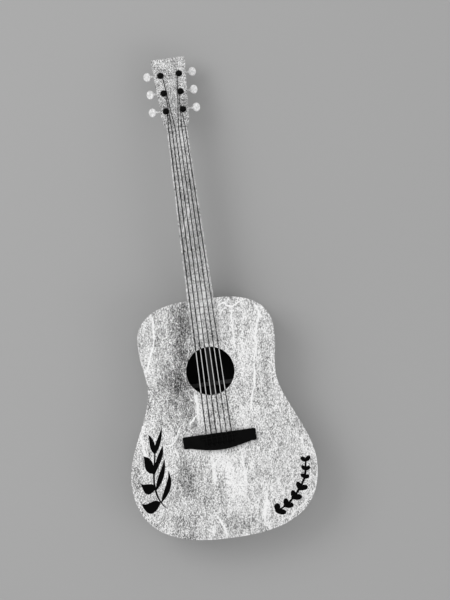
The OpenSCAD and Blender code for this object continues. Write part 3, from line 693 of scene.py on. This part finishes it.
eased("tuner_bushings", "post", "black_metal", headEdges["bushing"])
eased("tuner_screws", "plate", "tuner_metal")
for k in courses:
    eased(f"tuner_plate_{k}", "plate", "tuner_metal", headEdges["plate"])
    eased(f"worm_shaft_{k}", "shaft", "shaft_metal", angle=50)
    eased(f"post_gear_{k}", "post", "post_metal", headEdges["post"])

# in millimetres; dishIn is the width of the rim round the dish, and dishRamp that of the dish's slope
buttonLook = {
    "wide": 16.4, "tall": 19.2, "thick": 5.6, "sides": 48, "rim": 1.7, "rimSteps": 5, "dish": 0.35,
    "dishIn": 1.6, "dishRamp": 2.0, "stem": 2.7, "stemSides": 28, "stemOut": 2.6, "stemIn": 2.0,
    "stemRound": 0.5, "stemSteps": 3,
}


def makeButton():
    # an oval knob with rounded rims, a shallow dish on each face and a stem towards -X
    pick()
    bpy.ops.mesh.primitive_cylinder_add(
        vertices=buttonLook["sides"], radius=1, depth=buttonLook["thick"] * mm)
    knob = bpy.context.object
    edit(knob)
    bpy.ops.transform.resize(value=(buttonLook["wide"] / 2 * mm, buttonLook["tall"] / 2 * mm, 1))
    # the level edges are the two rims, and only the two faces have more than four corners
    chooseEdges(knob, lambda e: abs(e.verts[0].co.z - e.verts[1].co.z) < hair)
    bpy.ops.mesh.bevel(offset=buttonLook["rim"] * mm, segments=buttonLook["rimSteps"], profile=0.5)
    chooseFaces(knob, lambda f: len(f.verts) > 4)
    bpy.ops.mesh.inset(thickness=buttonLook["dishIn"] * mm)
    bpy.ops.transform.shrink_fatten(value=-buttonLook["dish"] * mm)
    bpy.ops.mesh.inset(thickness=buttonLook["dishRamp"] * mm)
    pick()
    length = buttonLook["stemOut"] + buttonLook["stemIn"]
    middle = -buttonLook["wide"] / 2 - buttonLook["stemOut"] + length / 2
    bpy.ops.mesh.primitive_cylinder_add(
        vertices=buttonLook["stemSides"], radius=buttonLook["stem"] * mm, depth=length * mm,
        location=(middle * mm, 0, 0), rotation=(0, math.radians(90), 0))
    stem = bpy.context.object
    edit(stem)
    chooseEdges(stem, lambda e: max(v.co.z for v in e.verts) < -length / 2 * mm + hair)
    bpy.ops.mesh.bevel(offset=buttonLook["stemRound"] * mm, segments=buttonLook["stemSteps"])
    settle(stem)
    applied(knob, "BOOLEAN", operation="UNION", object=stem, solver="EXACT")
    bpy.data.objects.remove(stem)
    return knob


pattern = makeButton()
for k in courses:
    low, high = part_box(f"button_{k}")
    turned = high.x < 0
    x = low.x + buttonLook["wide"] / 2 * mm if turned else high.x - buttonLook["wide"] / 2 * mm
    place = Matrix.Translation((x, (low.y + high.y) / 2, (low.z + high.z) / 2))
    place = place @ Matrix.Rotation(-headTilt, 4, "X") @ Matrix.Rotation(math.pi if turned else 0, 4, "Z")
    knob = bpy.data.objects.new(f"knob_{k}", pattern.data.copy())
    knob.data.transform(place)
    bpy.context.scene.collection.objects.link(knob)
    smooth(knob, angle=40)
    dress(knob, finishes["button"], "button_plastic", f"button_{k}")
bpy.data.objects.remove(pattern)
print("machine heads finished")


# in millimetres, with wrapStep and every Turn in degrees; wraps counts the turns round a post, ahead is from
# the pin's middle towards the saddle, and fromBall has steps ahead and up from the ball
stringLook = {
    "thick": (1.5, 1.55, 1.6, 1.7, 1.8, 1.9), "firstWound": 4, "slot": 7.9,
    "postOut": (18.3, 18.0, 19.8), "postUp": (40, 80, 120), "waist": 2.6, "gap": 0.12,
    "wraps": 2.25, "wrapStep": 11.25, "wrapRise": 1.7, "wrapGap": 0.2, "crown": 2.2, "saddleTurn": 2.5,
    "bridgeHigh": 8.5, "pinBend": 1.3, "bendAhead": 2.6, "underBend": 1, "ballDown": 7.8, "ballAhead": 4.2,
    "ballRadius": 1.75, "ballWide": 3.6, "ballRound": 0.4, "ballSides": 24, "ballSteps": 3,
    "overSaddle": 0.03, "overSlot": 0.01, "nutDrop": 0.02, "roundSteps": 3,
    "fromBall": ((2.45, 0), (1.85, 0.1), (1.45, 0.4), (1.3, 1)),
    "pinTurn": (180, 163, 146, 129, 112), "crownTurn": (101, 95, 90),
}
pinY = sum(corner.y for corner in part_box("bridge_pins")) / 2
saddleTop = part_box("saddle")[1].z


def arcPoint(x, middle, radius, degrees):
    # on an arc in the upright plane at x, round a middle given by its Y and Z
    a = math.radians(degrees)
    return Vector((x, middle[0] + radius * math.cos(a), middle[1] + radius * math.sin(a)))


def stringRoute(k):
    # from the ball, up beside the pin, over the saddle and the nut, to the turns round the post
    side, rank = (1, k - 1) if k <= perSide else (-1, len(courses) - k)
    offCentre = side * (perSide - 0.5 - rank)
    r = stringLook["thick"][k - 1] / 2 * mm
    x = offCentre * stringFan["saddleGap"]
    ballZ = boardTop - stringLook["ballDown"] * mm
    bend = boardTop + stringLook["bridgeHigh"] * mm
    route = [Vector((x, pinY + ahead * mm, ballZ + up * mm)) for ahead, up in stringLook["fromBall"]]
    route.append(Vector((x, route[-1].y, bend - stringLook["underBend"] * mm)))
    pinCorner = (pinY + stringLook["bendAhead"] * mm, bend)
    route += [arcPoint(x, pinCorner, stringLook["pinBend"] * mm, a) for a in stringLook["pinTurn"]]
    crownY = saddleY + x * math.tan(math.radians(stringLook["saddleTurn"]))
    crown = stringLook["crown"] * mm
    over = crown + r + stringLook["overSaddle"] * mm
    route += [arcPoint(x, (crownY, saddleTop - crown), over, a) for a in stringLook["crownTurn"]]
    x = offCentre * stringFan["nutGap"]
    z = boardTop + (stringLook["slot"] + stringLook["overSlot"]) * mm + r
    route += [Vector((x, nutY, z)), Vector((x, headY, z - stringLook["nutDrop"] * mm))]
    big = (stringLook["waist"] + stringLook["gap"]) * mm + r
    post = Vector((stringLook["postOut"][rank] * mm, stringLook["postUp"][rank] * mm))
    start = Vector((abs(x), 0)) - post
    begin = math.atan2(start.y, start.x) - math.acos(big / start.length)
    rise = 2 * r + stringLook["wrapGap"] * mm
    for i in range(int(stringLook["wraps"] * 360 / stringLook["wrapStep"]) + 1):
        turn = i * stringLook["wrapStep"]
        a = begin - math.radians(turn)
        out = stringLook["wrapRise"] * mm + r + rise * turn / 360
        route.append(onHead(side * (post.x + big * math.cos(a)), post.y + big * math.sin(a), out))
    return route


def tube(name, route, radius):
    data = bpy.data.curves.new(name, "CURVE")
    data.dimensions = "3D"
    data.bevel_depth = radius
    data.bevel_resolution = stringLook["roundSteps"]
    data.use_fill_caps = True
    line = data.splines.new("POLY")
    line.points.add(len(route) - 1)
    for point, place in zip(line.points, route):
        point.co = (*place, 1)
    piece = bpy.data.objects.new(name, data)
    bpy.context.scene.collection.objects.link(piece)
    pick(piece)
    bpy.ops.object.convert(target="MESH")
    return bpy.context.object


for k in courses:
    route = stringRoute(k)
    piece = tube(f"wire_{k}", route, stringLook["thick"][k - 1] / 2 * mm)
    pick()
    bpy.ops.mesh.primitive_cylinder_add(
        vertices=stringLook["ballSides"], radius=stringLook["ballRadius"] * mm,
        depth=stringLook["ballWide"] * mm, rotation=(0, math.radians(90), 0),
        location=(route[0].x, pinY + stringLook["ballAhead"] * mm, route[0].z))
    ball = bpy.context.object
    edit(ball)
    bpy.ops.mesh.bevel(offset=stringLook["ballRound"] * mm, segments=stringLook["ballSteps"])
    settle(ball)
    pick(piece, ball)
    bpy.ops.object.join()
    edit(piece)
    bpy.ops.mesh.normals_make_consistent(inside=False)
    smooth(piece, angle=50)
    finish = "wound" if k >= stringLook["firstWound"] else "plain"
    dress(piece, finishes[finish], "string_wire", f"string_{k}")
print("strings drawn")


# in millimetres; a leaf runs from its base to its tip, and each side has the sideways reach of its low and
# high handles, which sit at those shares of its length
printLook = {"thick": 0.14, "sunk": 0.03, "steps": 10, "weld": 0.01, "lowHandle": 0.3}
bassSprig = {
    "highHandle": 0.68,
    "stem": (((-140, -56), 1.4), ((-143.5, -76), 1.8), ((-148, -98), 1.9), ((-150, -118), 2.0),
             ((-149, -132), 2.0), ((-146.5, -146), 1.8), ((-142, -158), 1.6), ((-137, -166), 1.2),
             ((-132, -172), 0.6)),
    "leaves": (
        ((-140, -58), (-148.5, -14), (10, 1), (7, 11)), ((-140, -58), (-118.5, -1), (11, -2), (8, 7.5)),
        ((-148, -98), (-164.5, -58), (21, 3), (9, 17)), ((-148, -103), (-121.5, -41), (8, 5), (1, 13)),
        ((-149, -131), (-179.5, -113), (33, 8), (20, -6)), ((-148, -134), (-121.5, -69), (8, -1), (11, 11)),
        ((-142, -161), (-183, -155), (29, 32), (17, -12)), ((-141, -161), (-117, -95), (4, -8), (14, 20)),
    ),
}
trebleSprig = {
    "highHandle": 1.0,
    "stem": (((174, -112), 1.6), ((172.6, -122), 1.9), ((170.5, -134), 2.3), ((167, -148), 2.4),
             ((160, -160), 2.4), ((152, -171), 2.4), ((140, -185), 2.4), ((130, -194), 2.3),
             ((117, -203), 1.9), ((106, -208), 1.6)),
    "leaves": (
        ((176.5, -115), (164.6, -105), (7.6, 6.4), (6.4, 5)),
        ((171.5, -115), (183.6, -104.6), (6.4, 5), (7.6, 6.6)),
        ((175.5, -134), (163, -123.8), (6.6, 5.2), (6, 4.8)),
        ((169, -133.5), (181.2, -127.2), (6.6, 5.2), (6, 5.2)),
        ((171.5, -150), (159.4, -140.6), (6.6, 5.2), (6, 4.8)),
        ((164.5, -149.5), (177, -145.8), (7.2, 5.6), (6.4, 4.8)),
        ((153, -175), (150.8, -155), (6.8, 6.6), (9, 6)),
        ((148, -170.5), (170.8, -169), (9, 7.6), (8, 7)),
        ((138, -192), (138, -171.8), (7, 7), (9, 6.4)),
        ((132.5, -187.5), (156, -187.8), (9.4, 7.8), (8.2, 7.4)),
        ((119, -206), (121.2, -186.6), (7, 7), (9, 6.8)),
        ((113.5, -202), (136.2, -202.6), (9, 7.4), (8.2, 7.4)),
        ((100, -215), (101.8, -194.4), (9, 8.4), (9, 8)),
        ((94.5, -209.5), (118.4, -216.6), (8, 7.6), (9, 7)),
    ),
}


def printShape(name, knots):
    # a closed outline of knots, each with its place and two handles, made a thin slab
    data = bpy.data.curves.new(name, "CURVE")
    data.dimensions = "2D"
    data.fill_mode = "BOTH"
    data.extrude = printLook["thick"] / 2
    data.resolution_u = printLook["steps"]
    line = data.splines.new("BEZIER")
    line.bezier_points.add(len(knots) - 1)
    line.use_cyclic_u = True
    for point, (place, before, after) in zip(line.bezier_points, knots):
        point.co = (*place, 0)
        point.handle_left = (*before, 0)
        point.handle_right = (*after, 0)
    piece = bpy.data.objects.new(name, data)
    bpy.context.scene.collection.objects.link(piece)
    pick(piece)
    bpy.ops.object.convert(target="MESH")
    piece = bpy.context.object
    edit(piece)
    bpy.ops.mesh.remove_doubles(threshold=printLook["weld"])
    bpy.ops.mesh.normals_make_consistent(inside=False)
    pick(piece)
    return piece


def sprigLeaf(name, base, tip, left, right, highHandle):
    base, tip = Vector(base), Vector(tip)
    run = tip - base
    aside = Vector((-run.y, run.x)).normalized()
    low, high = base + run * printLook["lowHandle"], base + run * highHandle
    return printShape(name, (
        (base, low - aside * right[0], low + aside * left[0]),
        (tip, high + aside * left[1], high - aside * right[1]),
    ))


def sprigStem(name, path):
    # a strip that follows the path, as wide each way as each point says
    leftSide, rightSide = [], []
    for i, (place, half) in enumerate(path):
        before, after = Vector(path[max(i - 1, 0)][0]), Vector(path[min(i + 1, len(path) - 1)][0])
        aside = Vector((before.y - after.y, after.x - before.x)).normalized() * half
        leftSide.append(Vector(place) + aside)
        rightSide.append(Vector(place) - aside)
    ring = leftSide + rightSide[::-1]
    # handles a third of the way to the next knot keep the line between them straight
    knots = []
    for i, place in enumerate(ring):
        before, after = ring[i - 1], ring[(i + 1) % len(ring)]
        knots.append((place, place + (before - place) / 3, place + (after - place) / 3))
    return printShape(name, knots)


def makeSprig(name, look):
    whole = sprigStem(name, look["stem"])
    for base, tip, left, right in look["leaves"]:
        part = sprigLeaf("leaf", base, tip, left, right, look["highHandle"])
        applied(whole, "BOOLEAN", operation="UNION", object=part, solver="EXACT")
        bpy.data.objects.remove(part)
    lift = boardTop + (printLook["thick"] / 2 - printLook["sunk"]) * mm
    whole.data.transform(Matrix.Translation((0, 0, lift)) @ Matrix.Scale(mm, 4))
    whole.data.materials.clear()
    whole.data.materials.append(finishes["print"])
    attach(whole, "guitar")
    print(name, "has", len(whole.data.polygons), "faces")


makeSprig("sprig_bass", bassSprig)
makeSprig("sprig_treble", trebleSprig)

low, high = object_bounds()
